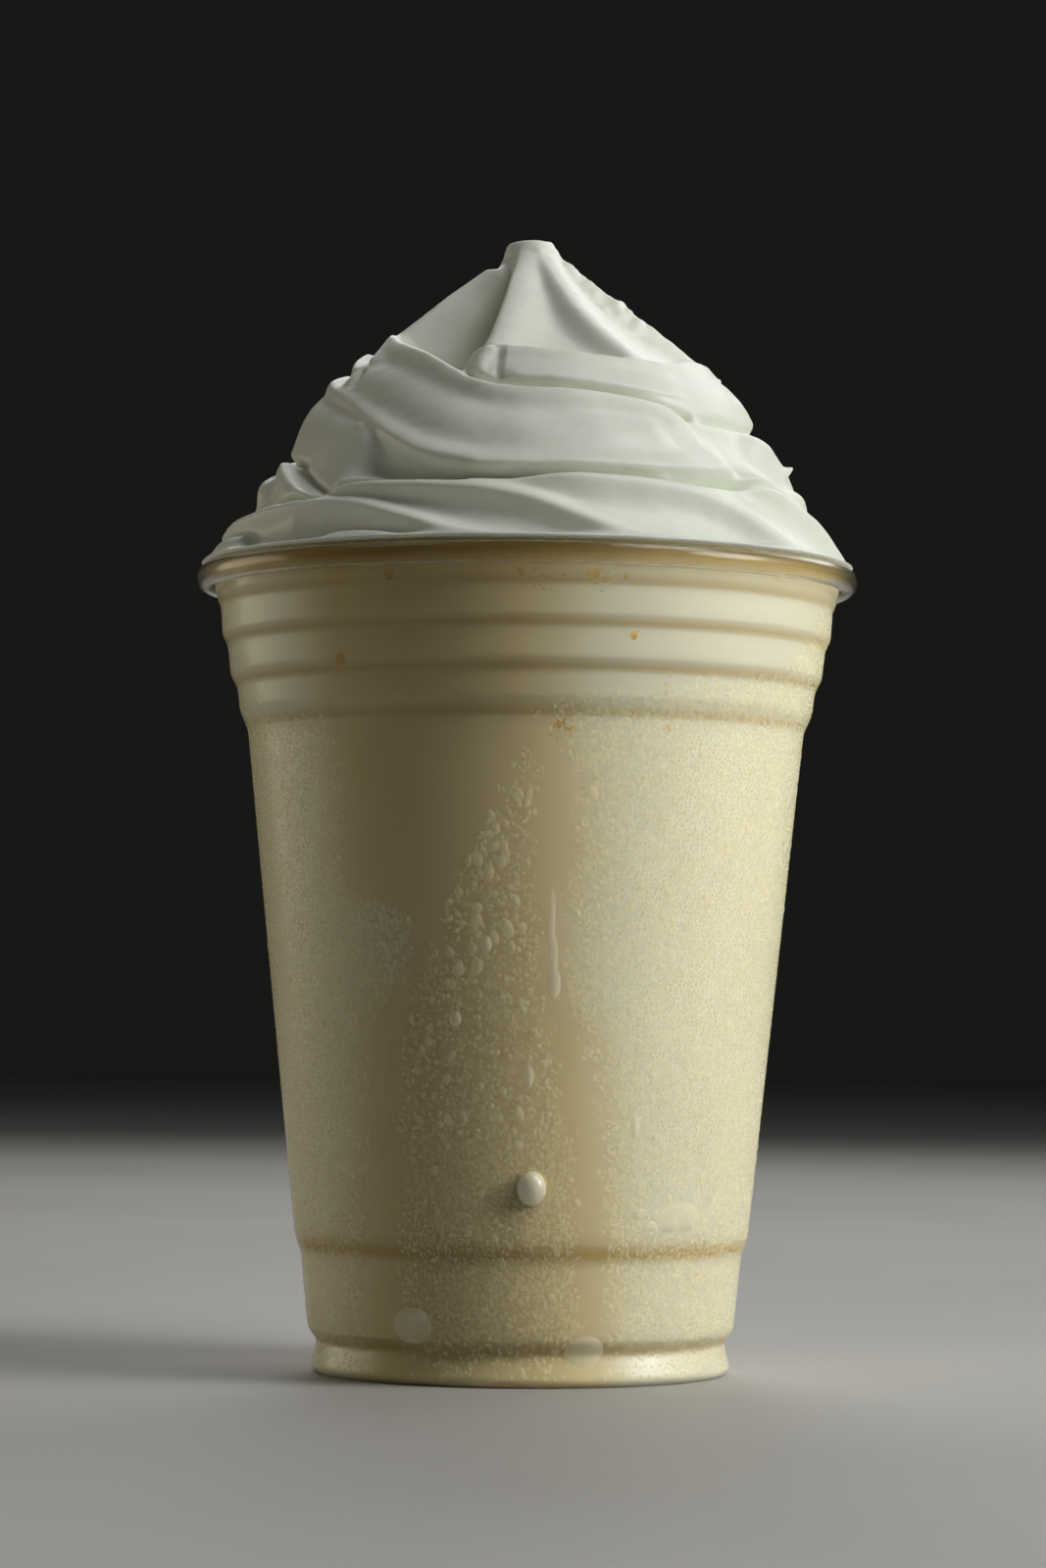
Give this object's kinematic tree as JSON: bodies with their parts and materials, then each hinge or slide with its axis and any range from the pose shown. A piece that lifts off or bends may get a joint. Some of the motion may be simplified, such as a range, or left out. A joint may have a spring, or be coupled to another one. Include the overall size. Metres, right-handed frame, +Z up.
{
  "type": "vanilla milkshake",
  "caption": "Clear ribbed plastic cup filled with pale milkshake and topped with a tall spiral swirl of whipped cream.",
  "frame": {"origin": "centre of the cup's foot, on the surface that it stands on", "axes": "+Z up along the cup's axis, -Y towards the side that the picture shows"},
  "size_m": [0.098, 0.098, 0.168],
  "materials": {
    "clear_plastic": "clear, glossy, misted with fine water droplets",
    "milkshake": "smooth, opaque and creamy behind the clear wall",
    "whipped_cream": "soft satin, slightly translucent at thin ridges"
  },
  "bodies": {
    "root": {"cup": "clear_plastic", "milkshake": "milkshake", "whipped_cream": "whipped_cream"}
  },
  "joints": []
}
